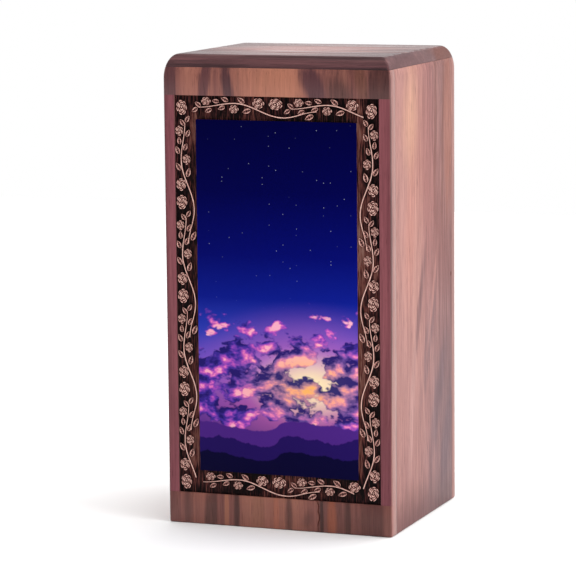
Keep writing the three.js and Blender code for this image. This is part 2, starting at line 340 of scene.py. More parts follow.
@dataclass(frozen=True)
class BurntGround:
    """Laser-burnt wood: near black and matt, with the harder grain left as brown upright scratches."""

    name: str = "burnt rosewood ground"
    # The laser's lines are about 0.15 mm apart. They are drawn three times as coarse, to show.
    scratch: float = 0.45 * MM
    patch: float = 16 * MM
    spared_in: float = 49.7 * MM
    spared_out: float = 57 * MM
    spared_low: float = 36 * MM
    spared_share: float = 0.22

    def material(self) -> bpy.types.Material:
        """Builds the burnt surface.

        Returns:
            The finished material.
        """
        material, tree, shader = blank_material(self.name)
        place = put(tree, "TexCoord", out="Object")
        lines, spared = [put(tree, "TexNoise", {}, {
            "Vector": along_grain(tree, place, width, ratio), "Scale": 1.0, "Detail": 2.0,
        }) for width, ratio in ((self.scratch, 16.0), (self.patch, 2.4))]
        lift = put(tree, "MapRange", {}, {
            "Value": spared, "From Min": 0.45, "From Max": 0.72, "To Max": 0.21,
        })
        aside = put(tree, "SeparateXYZ", {}, {"Vector": place}, out=0)
        reach = put(tree, "Math", {"operation": "ABSOLUTE"}, {0: aside})
        inner = put(tree, "MapRange", {}, {
            "Value": reach, "From Min": self.spared_out, "From Max": self.spared_in,
            "To Max": self.spared_share,
        })
        upright = put(tree, "MapRange", {}, {
            "Value": reach, "From Min": self.spared_in - 0.5 * MM, "From Max": self.spared_in,
        })
        hand = put(tree, "MapRange", {}, {"Value": aside, "From Min": -MM, "From Max": MM, "To Min": 0.6})
        above = put(tree, "MapRange", {}, {
            "Value": put(tree, "SeparateXYZ", {}, {"Vector": place}, out=2),
            "From Min": self.spared_low - 3 * MM, "From Max": self.spared_low + 3 * MM, "To Max": hand,
        })
        brown = put(tree, "Math", {"operation": "MULTIPLY"}, {
            0: inner, 1: put(tree, "Math", {"operation": "MULTIPLY"}, {0: upright, 1: above}),
        })
        tone = put(tree, "Math", {"operation": "ADD"}, {
            0: lines, 1: put(tree, "Math", {"operation": "ADD"}, {0: lift, 1: brown}),
        })
        colour = put(tree, "ValToRGB", {"stops": (
            (0.0, "040102"), (0.52, "0c0506"), (0.62, "2c1315"), (0.7, "542a28"), (0.8, "6c3e36"),
            (0.98, "8a665c"),
        )}, {"Fac": tone})
        feed(tree, shader, {
            "Base Color": colour,
            "Roughness": 0.75,
            "Specular IOR Level": 0.12,
            "Normal": put(tree, "Bump", {}, {"Height": lines, "Strength": 0.8, "Distance": 0.25 * MM}),
        })
        return material


@dataclass(frozen=True)
class CarvedWood:
    """Bare wood left standing by the laser: pale on the crests, which is partly a painted highlight, and
    brown down in the cuts, which is the laser's scorch with painted shade in the recesses.
    """

    face: float
    name: str = "carved pale rosewood"
    cut: float = 0.75 * MM
    # Coarser than real fibres, to show.
    fibre: float = 0.4 * MM

    def material(self) -> bpy.types.Material:
        """Builds the carved surface, which darkens with its depth below the plate's face, as scorch and
        painted shade.

        Returns:
            The finished material.
        """
        material, tree, shader = blank_material(self.name)
        place = put(tree, "TexCoord", out="Object")
        depth = put(tree, "SeparateXYZ", {}, {"Vector": place}, out=1)
        # Painted shade with the scorch: the colour darkens with the depth below the face.
        sunk_scorch_and_shade = put(tree, "MapRange", {}, {
            "Value": depth, "From Min": self.face + 0.05 * MM, "From Max": self.face + self.cut,
        })
        fibres = put(tree, "TexNoise", {}, {
            "Vector": along_grain(tree, place, self.fibre, 14.0), "Scale": 1.0, "Detail": 1.0,
        })
        level = put(tree, "Math", {"operation": "MULTIPLY_ADD"}, {0: fibres, 1: 0.3, 2: sunk_scorch_and_shade})
        # The pale first stop is partly a painted highlight on the crests; the dark last stops are scorch
        # with painted shade in the cuts.
        colour = put(tree, "ValToRGB", {"stops": (
            (0.12, "f0c6b8"), (0.24, "c89288"), (0.4, "925f58"), (0.62, "40201e"), (0.85, "120808"),
        )}, {"Fac": level})
        feed(tree, shader, {
            "Base Color": colour,
            "Roughness": 0.55,
            "Specular IOR Level": 0.25,
            "Normal": put(tree, "Bump", {}, {"Height": fibres, "Strength": 0.3, "Distance": 0.05 * MM}),
        })
        return material


@dataclass(frozen=True)
class PrintedSky:
    """Satin print on sanded wood: stars over a low glow, streaming cloud banks and dark ridges."""

    bottom: float
    top: float
    name: str = "printed dusk sky"
    unit: float = 100 * MM
    glow: tuple[float, float] = (0.2, 0.86)
    star_cell: float = 4.2 * MM
    # Coarser than real fibres, to show.
    fibre: float = MM / 1.4

    def material(self) -> bpy.types.Material:
        """Builds the print.

        Returns:
            The finished material.
        """
        material, tree, shader = blank_material(self.name)
        place = put(tree, "TexCoord", out="Object")
        across = put(tree, "SeparateXYZ", {}, {"Vector": place}, out=0)
        height = put(tree, "SeparateXYZ", {}, {"Vector": place}, out=2)
        up = put(tree, "MapRange", {}, {"Value": height, "From Min": self.bottom, "From Max": self.top})
        flat = put(tree, "CombineXYZ", {}, {0: across, 1: height})
        page = put(tree, "VectorMath", {"operation": "SCALE"}, {0: flat, "Scale": 1 / self.unit})
        sky = put(tree, "ValToRGB", {"stops": (
            (0.0, "180c48"), (0.2, "6a3aa0"), (0.3, "6f52c8"), (0.4, "2c3cb4"), (0.5, "0a1a8a"),
            (0.62, "02086a"), (0.8, "00014a"), (1.0, "00003a"),
        )}, {"Fac": up})
        lit_sky = self.glowing(tree, page, sky)
        clouded = self.clouds(tree, page, up, lit_sky)
        starred = self.stars(tree, flat, up, clouded)
        colour = self.ridges(tree, page, starred)
        fibres = put(tree, "TexNoise", {}, {
            "Vector": along_grain(tree, place, self.fibre, 35.0), "Scale": 1.0,
        })
        feed(tree, shader, {
            "Base Color": colour,
            "Roughness": 0.5,
            "Specular IOR Level": 0.03,
            "Normal": put(tree, "Bump", {}, {"Height": fibres, "Strength": 0.25, "Distance": 0.04 * MM}),
        })
        return material

    def nearness(self, tree: Tree, page: Socket, reach: float) -> Socket:
        """How near a place on the print is to the glow, from 0 at its reach to 1 in its middle.

        Args:
            tree: The material's tree.
            page: The place on the print.
            reach: The glow's reach, in units of the print.

        Returns:
            The nearness.
        """
        offset = put(tree, "VectorMath", {"operation": "SUBTRACT"}, {0: page, 1: (*self.glow, 0.0)})
        oval = put(tree, "VectorMath", {"operation": "MULTIPLY"}, {0: offset, 1: (0.75, 1.35, 0.0)})
        distance = put(tree, "VectorMath", {"operation": "LENGTH"}, {0: oval}, out="Value")
        return put(tree, "MapRange", {"interpolation_type": "SMOOTHSTEP"}, {
            "Value": distance, "From Min": 0.0, "From Max": reach, "To Min": 1.0, "To Max": 0.0,
        })

    def glowing(self, tree: Tree, page: Socket, sky: Socket) -> Socket:
        """Lays the low glow over the sky.

        Args:
            tree: The material's tree.
            page: The place on the print.
            sky: The sky's colour.

        Returns:
            The colour with the glow.
        """
        wide = put(tree, "Math", {"operation": "MULTIPLY"}, {0: self.nearness(tree, page, 0.7), 1: 0.5})
        pink = put(tree, "Mix", {"data_type": "RGBA"}, {0: wide, 6: sky, 7: linear("ff86b8")}, out=2)
        core = self.nearness(tree, page, 0.34)
        return put(tree, "Mix", {"data_type": "RGBA"}, {0: core, 6: pink, 7: linear("ffe9b8")}, out=2)

    def clouds(self, tree: Tree, page: Socket, up: Socket, under: Socket) -> Socket:
        """Lays cloud banks over the sky, lit from the glow's side.

        Args:
            tree: The material's tree.
            page: The place on the print.
            up: The height on the print, from 0 to 1.
            under: The colour under the clouds.

        Returns:
            The colour with the clouds.
        """
        curl = put(tree, "TexNoise", {}, {"Vector": page, "Scale": 3.2, "Detail": 3.0}, out="Color")
        bent = put(tree, "VectorMath", {"operation": "MULTIPLY_ADD"}, {
            0: curl, 1: (0.1, 0.08, 0.0), 2: page,
        })
        squeezed = put(tree, "VectorMath", {"operation": "MULTIPLY"}, {0: bent, 1: (1.0, 1.5, 1.0)})
        towards = put(tree, "VectorMath", {"operation": "ADD"}, {0: squeezed, 1: (0.03, -0.075, 0.0)})
        puffs, shade = [self.billows(tree, vector) for vector in (squeezed, towards)]
        lit = put(tree, "Math", {"operation": "SUBTRACT"}, {0: puffs, 1: shade})
        light = put(tree, "MapRange", {}, {"Value": lit, "From Min": -0.12, "From Max": 0.27})
        paint = put(tree, "ValToRGB", {"stops": (
            (0.0, "1c1668"), (0.3, "3f2c98"), (0.5, "7c3fb2"), (0.68, "b852bc"), (0.86, "f07cc0"),
            (1.0, "ffb4c8"),
        )}, {"Fac": light})
        near = put(tree, "Math", {"operation": "MULTIPLY"}, {0: self.nearness(tree, page, 0.42), 1: light})
        warm = put(tree, "Mix", {"data_type": "RGBA"}, {0: near, 6: paint, 7: linear("ffb75e")}, out=2)
        belt = put(tree, "ValToRGB", {"stops": (
            (0.0, "000000"), (0.12, "c0c0c0"), (0.2, "ffffff"), (0.36, "f4f4f4"), (0.44, "a8a8a8"),
            (0.51, "000000"),
        )}, {"Fac": up})
        cover = put(tree, "Math", {"operation": "MULTIPLY_ADD"}, {0: belt, 1: 0.42, 2: puffs})
        thick = put(tree, "MapRange", {"interpolation_type": "SMOOTHSTEP"}, {
            "Value": cover, "From Min": 0.38, "From Max": 0.47, "To Max": 0.97,
        })
        below = put(tree, "MapRange", {}, {
            "Value": up, "From Min": 0.44, "From Max": 0.5, "To Min": 1.0, "To Max": 0.0,
        })
        mask = put(tree, "Math", {"operation": "MULTIPLY"}, {0: thick, 1: below})
        return put(tree, "Mix", {"data_type": "RGBA"}, {0: mask, 6: under, 7: warm}, out=2)

    def billows(self, tree: Tree, vector: Socket) -> Socket:
        """The density of the clouds: fine wisps with round lumps pressed into them.

        Args:
            tree: The material's tree.
            vector: The place in the clouds.

        Returns:
            The density, about a half.
        """
        wisps = put(tree, "TexNoise", {}, {"Vector": vector, "Scale": 2.6, "Detail": 9.0, "Roughness": 0.52})
        lumps = put(tree, "TexVoronoi", {"voronoi_dimensions": "2D", "feature": "SMOOTH_F1"}, {
            "Vector": vector, "Scale": 6.0, "Smoothness": 0.35, "Detail": 3.0, "Roughness": 0.55,
        }, out="Distance")
        return put(tree, "Math", {"operation": "MULTIPLY_ADD"}, {0: lumps, 1: -0.42, 2: wisps})

    def stars(self, tree: Tree, flat: Socket, up: Socket, under: Socket) -> Socket:
        """Scatters stars over the upper sky.

        Args:
            tree: The material's tree.
            flat: The place on the print, in metres.
            up: The height on the print, from 0 to 1.
            under: The colour under the stars.

        Returns:
            The colour with the stars.
        """
        cells = {"Vector": flat, "Scale": 1 / self.star_cell}
        distance = put(tree, "TexVoronoi", {"voronoi_dimensions": "2D"}, cells, out="Distance")
        lot = put(tree, "TexVoronoi", {"voronoi_dimensions": "2D"}, cells, out="Color")
        chance = put(tree, "SeparateXYZ", {}, {"Vector": lot}, out=0)
        bright = put(tree, "MapRange", {}, {
            "Value": chance, "From Min": 0.9, "From Max": 1.0, "To Max": 0.55,
        })
        dot = put(tree, "MapRange", {}, {
            "Value": distance, "From Min": 0.02, "From Max": 0.075, "To Min": 1.0, "To Max": 0.0,
        })
        high = put(tree, "MapRange", {}, {"Value": up, "From Min": 0.46, "From Max": 0.6})
        star = put(tree, "Math", {"operation": "MULTIPLY"}, {0: dot, 1: bright})
        shown = put(tree, "Math", {"operation": "MULTIPLY"}, {0: star, 1: high})
        return put(tree, "Mix", {"data_type": "RGBA"}, {0: shown, 6: under, 7: linear("dfe6ff")}, out=2)

    def ridges(self, tree: Tree, page: Socket, under: Socket) -> Socket:
        """Lays three ridges across the foot of the print, the nearest darkest.

        Args:
            tree: The material's tree.
            page: The place on the print.
            under: The colour above the ridges.

        Returns:
            The colour with the ridges.
        """
        colour = under
        across = put(tree, "SeparateXYZ", {}, {"Vector": page}, out=0)
        height = put(tree, "SeparateXYZ", {}, {"Vector": page}, out=1)
        for crest, swell, pitch, code in (
            (0.62, 0.24, 2.2, "4a2480"), (0.53, 0.26, 3.1, "22105a"), (0.44, 0.22, 2.6, "070430"),
        ):
            line = put(tree, "TexNoise", {"noise_dimensions": "1D"}, {
                "W": across, "Scale": pitch, "Detail": 5.0,
            })
            lift = put(tree, "Math", {"operation": "MULTIPLY_ADD"}, {
                0: line, 1: swell, 2: crest - swell / 2,
            })
            below = put(tree, "Math", {"operation": "SUBTRACT"}, {0: lift, 1: height})
            mask = put(tree, "MapRange", {}, {"Value": below, "From Min": -0.004, "From Max": 0.004})
            colour = put(tree, "Mix", {"data_type": "RGBA"}, {0: mask, 6: colour, 7: linear(code)}, out=2)
        return colour


@dataclass(frozen=True)
class ScrewBrass:
    """Turned brass, dulled by handling into soft lighter and darker spots."""

    name: str = "turned brass"
    spot: float = MM / 0.9

    def material(self) -> bpy.types.Material:
        """Builds the brass.

        Returns:
            The finished material.
        """
        material, tree, shader = blank_material(self.name)
        place = put(tree, "TexCoord", out="Object")
        dull = put(tree, "TexNoise", {}, {"Vector": place, "Scale": 1 / self.spot, "Detail": 3.0})
        colour = put(tree, "ValToRGB", {"stops": ((0.3, "8a6f35"), (0.7, "c9a95c"))}, {"Fac": dull})
        rough = put(tree, "MapRange", {}, {"Value": dull, "To Min": 0.25, "To Max": 0.5})
        feed(tree, shader, {"Base Color": colour, "Metallic": 1.0, "Roughness": rough})
        return material


def clear_selection() -> None:
    """Leaves edit mode and deselects every object."""
    if bpy.context.mode != "OBJECT":
        bpy.ops.object.mode_set(mode="OBJECT")
    bpy.ops.object.select_all(action="DESELECT")


def pick(piece: Piece) -> Piece:
    """Selects one object alone and makes it active.

    Args:
        piece: The object.

    Returns:
        The same object.
    """
    clear_selection()
    piece.select_set(True)
    bpy.context.view_layer.objects.active = piece
    return piece


def add_block(name: str, low: Vector, high: Vector) -> Piece:
    """Adds a cube between two corners.

    Args:
        name: The object's name.
        low: The lowest corner.
        high: The highest corner.

    Returns:
        The block, with its place in its mesh.
    """
    clear_selection()
    bpy.ops.mesh.primitive_cube_add(size=1, location=(low + high) / 2, scale=high - low)
    made = bpy.context.object
    made.name = name
    bpy.ops.object.transform_apply(location=True, rotation=True, scale=True)
    return made


class Cut(Enum):
    """What a cutting shape does to a piece."""

    KEEP_INSIDE = "INTERSECT"
    TAKE_AWAY = "DIFFERENCE"


def carve(piece: Piece, tool: Piece, operation: Cut) -> None:
    """Cuts a piece with a tool, which is used up.

    Args:
        piece: The piece to cut.
        tool: The cutting shape.
        operation: What the cut leaves.
    """
    cut = piece.modifiers.new("cut", "BOOLEAN")
    cut.object = tool
    cut.operation = operation.value
    cut.solver = "EXACT"
    pick(piece)
    bpy.ops.object.modifier_apply(modifier=cut.name)
    bpy.data.objects.remove(tool, do_unlink=True)


def ease(piece: Piece, width: float, angle: float) -> None:
    """Takes the sharpness off a piece's cut edges and smooths its curved faces.

    Args:
        piece: The piece.
        width: The width of the eased edge.
        angle: Edges sharper than this are eased.
    """
    soft = piece.modifiers.new("ease", "BEVEL")
    soft.width = width
    soft.segments = 2
    soft.limit_method = "ANGLE"
    soft.angle_limit = angle
    pick(piece)
    bpy.ops.object.modifier_apply(modifier=soft.name)
    bpy.ops.object.shade_smooth_by_angle(angle=SMOOTH_ANGLE)


def formed_grid(name: str, columns: int, rows: int, place: Place) -> Piece:
    """Adds a grid, moves its points to a formula's places, and closes it.

    Args:
        name: The object's name.
        columns: Faces along the first fraction.
        rows: Faces along the second fraction.
        place: Gives a point for two fractions from 0 to 1.

    Returns:
        The closed shape, with its faces outwards.
    """
    clear_selection()
    bpy.ops.mesh.primitive_grid_add(x_subdivisions=columns, y_subdivisions=rows, size=1)
    made = bpy.context.object
    made.name = name
    for vertex in made.data.vertices:
        vertex.co = place(vertex.co.x + 0.5, vertex.co.y + 0.5)
    bpy.ops.object.mode_set(mode="EDIT")
    bpy.ops.mesh.select_all(action="SELECT")
    bpy.ops.mesh.remove_doubles(threshold=0.002 * MM)
    bpy.ops.mesh.fill_holes(sides=0)
    bpy.ops.mesh.select_all(action="SELECT")
    bpy.ops.mesh.normals_make_consistent(inside=False)
    bpy.ops.object.mode_set(mode="OBJECT")
    return made


def dress_ends(piece: Piece, wood: Rosewood, tilt: float) -> None:
    """Gives the outer left and right faces of a piece another wood.

    Args:
        piece: The piece.
        wood: The wood of its ends.
        tilt: Faces whose normals lean further than this to the left or right are ends.
    """
    piece.data.materials.append(wood.material())
    for face in piece.data.polygons:
        if abs(face.normal.x) > tilt and abs(face.center.x) > END_REACH:
            face.material_index = len(piece.data.materials) - 1


def install(piece: Piece, slot: str, *nodes: str) -> None:
    """Hands a finished piece to the frame.

    Args:
        piece: The piece.
        slot: The record's material slot; not used.
        nodes: The solids that it stands for.
    """
    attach(piece, BODY)
    if nodes:
        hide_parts(*nodes)
    LOG.info("%s: %d faces", piece.name, len(piece.data.polygons))


@dataclass
class Carcass:
    """The box's boards, all trimmed to one rounded outer form."""

    crown_in: float = 7 * MM
    crown_down: float = 14 * MM
    crown_steps: int = 14
    arris: float = 1.4 * MM
    foot: float = 1.28 * MM
    joint: float = 0.1 * MM
    edge: float = 0.12 * MM
    chip: Vector = field(default_factory=lambda: Vector((70, 60, 16.4)) * MM)
    pit: Vector = field(default_factory=lambda: Vector((70, 51.6, 140)) * MM)
    crack_x: float = 23.6 * MM
    crack_width: float = 0.95 * MM
    crack_depth: float = 1.1 * MM
    chip_radius: float = 1.6 * MM
    pit_radius: float = 0.8 * MM
    form: Optional[Piece] = None
    low: Vector = field(default_factory=lambda: Vector(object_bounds()[0]))
    high: Vector = field(default_factory=lambda: Vector(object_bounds()[1]))

    def outer_form(self) -> Piece:
        """Models the outside of the whole box.

        Returns:
            A solid form that the boards are cut from.
        """
        shoulder = self.high.z - self.crown_down
        form = add_block("outer_form", self.low, Vector((self.high.x, self.high.y, shoulder)))
        bpy.ops.object.mode_set(mode="EDIT")
        bpy.ops.mesh.select_mode(type="FACE")
        bpy.ops.mesh.select_all(action="DESELECT")
        bpy.ops.object.mode_set(mode="OBJECT")
        for face in form.data.polygons:
            face.select = face.normal.z > 0.9
        bpy.ops.object.mode_set(mode="EDIT")
        turns = [math.radians(90) * step / self.crown_steps for step in range(self.crown_steps + 1)]
        for before, after in zip(turns, turns[1:]):
            bpy.ops.mesh.inset(
                thickness=self.crown_in * (math.cos(before) - math.cos(after)),
                depth=self.crown_down * (math.sin(after) - math.sin(before)),
            )
        self.select_edges(form, lambda a, b: abs(a.z - b.z) > 0.01 * MM)
        bpy.ops.mesh.bevel(offset=self.arris, segments=4, affect="EDGES", clamp_overlap=False)
        self.select_edges(form, lambda a, b: max(a.z, b.z) < 0.01 * MM)
        bpy.ops.mesh.bevel(offset=self.foot, segments=3, affect="EDGES")
        bpy.ops.object.mode_set(mode="OBJECT")
        return form

    @staticmethod
    def select_edges(piece: Piece, wanted: Callable[[Vector, Vector], bool]) -> None:
        """Selects edges by where their ends are, and stays in edit mode.

        Args:
            piece: The piece being edited.
            wanted: Says whether an edge between two points is selected.
        """
        bpy.ops.mesh.select_mode(type="EDGE")
        bpy.ops.mesh.select_all(action="DESELECT")
        bpy.ops.object.mode_set(mode="OBJECT")
        points = piece.data.vertices
        for edge in piece.data.edges:
            edge.select = wanted(*(points[index].co for index in edge.vertices))
        bpy.ops.object.mode_set(mode="EDIT")

    def board(self, form: Piece, name: str, node: str) -> Piece:
        """Cuts one board from the outer form, a little closer to its neighbours than the solid.

        Args:
            form: The outer form.
            name: The board's name.
            node: The solid that it stands for.

        Returns:
            The board.
        """
        pick(form)
        bpy.ops.object.duplicate()
        made = bpy.context.object
        made.name = name
        near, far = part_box(node)
        grow = Vector((self.joint,) * 3)
        carve(made, add_block("stock", near - grow, far + grow), Cut.KEEP_INSIDE)
        return made

    def housing(self) -> Piece:
        """The cutter for the plate's housing in the front board.

        Returns:
            The cutter.
        """
        near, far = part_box("engraved_plate")
        slack = self.joint
        return add_block(
            "housing",
            Vector((2 * near.x, 2 * near.y, near.z - slack)),
            Vector((2 * far.x, far.y + slack, far.z + slack)),
        )

    def crack(self) -> Piece:
        """The cutter for the dark drying crack in the foot of the front board.

        Returns:
            The cutter.
        """
        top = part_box("engraved_plate")[0].z + 1 * MM

        def place(u: float, v: float) -> Vector:
            """A point at a share of the crack's height and of the way round it.

            Args:
                u: The share of the height.
                v: The share of the way round.

            Returns:
                The point.
            """
            z = -1 * MM + u * (top + 1 * MM)
            bend = 1.3 * MM * math.sin(3.1 * u) + 0.35 * MM * math.sin(17 * u)
            width = self.crack_width * (0.55 + 0.75 * u + 0.25 * math.sin(23 * u))
            ring = 2 * math.pi * v
            x = self.crack_x + bend + width / 2 * math.cos(ring)
            return Vector((x, self.low.y + self.crack_depth * math.sin(ring), z))

        return formed_grid("crack", 28, 8, place)

    def dent(self, centre: Vector, radius: float, squash: Vector) -> Piece:
        """A rough ball that knocks a dent out of an edge.

        Args:
            centre: Its middle.
            radius: Its radius.
            squash: Its stretch along each axis.

        Returns:
            The cutter.
        """
        clear_selection()
        bpy.ops.mesh.primitive_ico_sphere_add(subdivisions=2, radius=radius, location=centre, scale=squash)
        made = bpy.context.object
        bpy.ops.object.transform_apply(location=True, rotation=True, scale=True)
        bpy.ops.object.mode_set(mode="EDIT")
        bpy.ops.mesh.select_all(action="SELECT")
        bpy.ops.transform.vertex_random(offset=0.22 * radius, uniform=1.0, seed=4)
        bpy.ops.object.mode_set(mode="OBJECT")
        return made

    def rebate(self, node: str, hand: int) -> Piece:
        """The cutter for the rebate that takes the base under a side board.

        Args:
            node: The side board's solid.
            hand: -1 for the left board, 1 for the right one.

        Returns:
            The cutter.
        """
        base_near, base_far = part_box("base_board")
        near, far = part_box(node)
        reach = base_far.x + self.joint
        ends = sorted((0.0, hand * reach))
        return add_block(
            "rebate",
            Vector((ends[0], 2 * near.y, -base_far.z)),
            Vector((ends[1], 2 * far.y, base_far.z + self.joint)),
        )

    def build(self) -> dict[str, Piece]:
        """Builds every board.

        Returns:
            Node name to the board that stands for it.
        """
        form = self.outer_form()
        boards = {node: self.board(form, f"urn_{node}", node) for node in (
            "top_board", "front_board", "back_board", "left_side_board", "right_side_board",
        )}
        carve(boards["front_board"], self.housing(), Cut.TAKE_AWAY)
        carve(boards["front_board"], self.crack(), Cut.TAKE_AWAY)
        carve(boards["left_side_board"], self.rebate("left_side_board", -1), Cut.TAKE_AWAY)
        carve(boards["right_side_board"], self.rebate("right_side_board", 1), Cut.TAKE_AWAY)
        for piece in boards.values():
            ease(piece, self.edge, EASED_ANGLE)
        for node, centre, radius, squash in (
            ("right_side_board", self.pit, self.pit_radius, Vector((1.0, 0.8, 2.0))),
            ("back_board", self.chip, self.chip_radius, Vector((1.0, 1.0, 1.1))),
        ):
            carve(boards[node], self.dent(centre, radius, squash), Cut.TAKE_AWAY)
            pick(boards[node])
            bpy.ops.object.shade_smooth_by_angle(angle=DENT_ANGLE)
        self.form = form
        return boards

    def dress(self, boards: dict[str, Piece]) -> None:
        """Gives each board its wood and hands it to the frame.

        Args:
            boards: Node name to board.
        """
        slots = {entry["node"]: entry["material_slot"] for entry in frame["record"]["subparts"]}
        for node, wood in BOARD_WOODS.items():
            piece = boards[node]
            piece.data.materials.clear()
            piece.data.materials.append(wood.material())
            if node in END_WOODS:
                dress_ends(piece, *END_WOODS[node])
            install(piece, slots[node], node)


@dataclass(frozen=True)
class Motif:
    """One rose or leaf of the vine: where it lies in its unit, its size and its turn in degrees."""

    along: float
    out: float
    long: float
    wide: float
    turn: float = 0.0


@dataclass(frozen=True)
class Run:
    """One run of vine units from a corner of the border."""

    origin: Vector
    along: Vector
    out: Vector
    units: int
    pitch: float
    stop: float
    first_pair: bool

    def spot(self, unit: int, along: float, out: float) -> Vector:
        """A place on the plate, as (X, Z), from a place in one of the run's units."""
        stretch = self.pitch / RoseVine.pitch
        return self.origin + self.along * ((unit * RoseVine.pitch + along) * stretch) + self.out * out

    def heading(self, turn: float) -> float:
        """The heading on the plate of something that is turned from the run's back.

        Args:
            turn: The turn in degrees.

        Returns:
            The heading in radians.
        """
        back = -self.along
        side = math.copysign(1.0, back.x * self.out.y - back.y * self.out.x)
        return math.atan2(back.y, back.x) + side * math.radians(turn)


class Bloom(Enum):
    """The kinds of rose: petals in each ring from the outside in, and how far the bud leans forward."""

    OPEN = ((7, 5, 3), 0.08)
    SMALL = ((6, 4, 3), 0.04)
    CUP = ((6, 4, 2), 0.12)


@dataclass
class RoseVine:
    """The carved vine of the border: roses, leaves and stems standing on the burnt ground."""

    pitch: float = 55.5 * MM
    row_pitch: float = 57.5 * MM
    side_units: int = 4
    row_units: int = 2
    corner_aside: float = 58.6 * MM
    border_line: float = 56.45 * MM
    upper_line: float = 247.3 * MM
    ground: float = -58.8 * MM
    relief: float = 1.15 * MM
    root: float = 0.2 * MM
    leaf_steps: int = 12
    stem_steps: int = 64
    stem_thin: float = 0.45 * MM
    stem_thick: float = 0.88 * MM
    side_stop: float = 53 * MM
    upper_stop: float = 52 * MM
    lower_stop: float = 45 * MM
    stem_knots: tuple[tuple[float, float], ...] = (
        (9.2 * MM, 0.2 * MM), (31 * MM, 2.8 * MM), (60 * MM, -5 * MM), (80 * MM, -1.2 * MM),
    )
    main_bloom: Motif = Motif(0.0, 2.7 * MM, 8.0 * MM, 6.6 * MM)
    corner_rose: Motif = Motif(0.0, 0.0, 8.3 * MM, 6.6 * MM)
    roses: tuple[tuple[Bloom, Motif], ...] = (
        (Bloom.SMALL, Motif(13.7 * MM, 3.8 * MM, 5.4 * MM, 4.8 * MM)),
        (Bloom.SMALL, Motif(30.5 * MM, -0.6 * MM, 5.4 * MM, 4.8 * MM)),
        (Bloom.CUP, Motif(45.2 * MM, 3 * MM, 6.8 * MM, 6.1 * MM)),
    )
    leaves: tuple[Motif, ...] = (
        Motif(6.9 * MM, -1.4 * MM, 4.4 * MM, 2.5 * MM, -32),
        Motif(8.9 * MM, 1.9 * MM, 4.4 * MM, 2.5 * MM, 36),
        Motif(15.2 * MM, -1.6 * MM, 4.6 * MM, 2.6 * MM, -26),
        Motif(19.6 * MM, 3.9 * MM, 4.4 * MM, 2.5 * MM, 6),
        Motif(23.2 * MM, 0.0, 4.6 * MM, 2.6 * MM, -22),
        Motif(25.2 * MM, 5 * MM, 4.8 * MM, 2.7 * MM, 24),
        Motif(34.9 * MM, 4.6 * MM, 5.3 * MM, 2.8 * MM, 34),
        Motif(38.2 * MM, -1.6 * MM, 5.6 * MM, 2.9 * MM, -17),
    )
    tail_leaf: Motif = Motif(20 * MM, -4.4 * MM, 5.9 * MM, 3 * MM, -26)

    def runs(self) -> list[Run]:
        """The four runs: one down each side, one along the top and one along the bottom.

        Returns:
            The runs.
        """
        found = [Run(
            origin=Vector((hand * self.border_line, self.upper_line)),
            along=Vector((0.0, -1.0)),
            out=Vector((hand, 0.0)),
            units=self.side_units,
            pitch=self.pitch,
            stop=self.side_stop,
            first_pair=True,
        ) for hand in (-1.0, 1.0)]
        for line, stop, pair in (
            (self.upper_line, self.upper_stop, True), (self.lower_line(), self.lower_stop, False),
        ):
            found.append(Run(
                origin=Vector((-self.row_pitch, line)),
                along=Vector((1.0, 0.0)),
                out=Vector((0.0, 1.0)),
                units=self.row_units,
                pitch=self.row_pitch,
                stop=stop,
                first_pair=pair,
            ))
        return found

    def lower_line(self) -> float:
        """The height of the lower run's middle line."""
        return self.upper_line - self.side_units * self.pitch

    def rose_shape(self, kind: Bloom) -> Piece:
        """Models one rose, a unit long and wide, with its height in metres.

        Args:
            kind: Which rose.

        Returns:
            The rose, facing +Z with its top towards +X.
        """
        petals, lean = kind.value
        rims = (1.0, 0.74, 0.48, 0.2)
        crests = (0.95, 0.98, 1.0)
        rows: list[tuple[float, float, int]] = [(1.0, -self.root / self.relief, 0)]
        for ring, crest in enumerate(crests):
            outer, inner = rims[ring], rims[ring + 1]
            for share, level in (
                (1.0, crest - 0.06), (0.86, crest), (0.5, crest - 0.07), (0.14, crest - 0.5),
            ):
                rows.append((inner + (outer - inner) * share, level, ring))
        rows += [(0.2, 0.5, 2), (0.15, 0.94, 2), (0.07, 1.0, 2), (0.0, 0.7, 2)]

        def place(u: float, v: float) -> Vector:
            """A point at a share of the way round and of the way in from the foot.

            Args:
                u: The share of the way round.
                v: The share of the way in.

            Returns:
                The point.
            """
            radius, level, ring = rows[round(v * (len(rows) - 1))]
            angle = 2 * math.pi * u
            count = petals[ring]
            phase = count * angle / 2 + 0.9 * ring
            belly = abs(math.cos(phase))
            reach = radius * (1 - 0.17 * (1 - belly) ** 2)
            overlap = 0.08 * math.sin(2 * phase) * (1 - belly ** 4)
            crease = 0.32 * (1 - belly) ** 3
            drop = 0.0 if level < 0 or radius == 0 else overlap - crease
            point = 1 + 0.14 * max(0.0, -math.cos(angle)) ** 5
            forward = reach * point * math.cos(angle) + lean * (1 - radius)
            return Vector((forward / 2, reach * math.sin(angle) / 2, self.relief * min(level + drop, 1.0)))

        return formed_grid(f"rose_{kind.name.lower()}", 48, len(rows) - 1, place)

    def leaf_shape(self) -> Piece:
        """Models one leaf, a unit long and wide: raised halves with a cut mid vein and side veins.

        Returns:
            The leaf.
        """
        section = (
            (0.0, -self.root / self.relief), (0.0, 0.86), (0.1, 0.96), (0.24, 0.78),
            (0.42, 0.72), (0.5, 0.3),
        )
        across = section + tuple((1 - share, level) for share, level in reversed(section[:-1]))

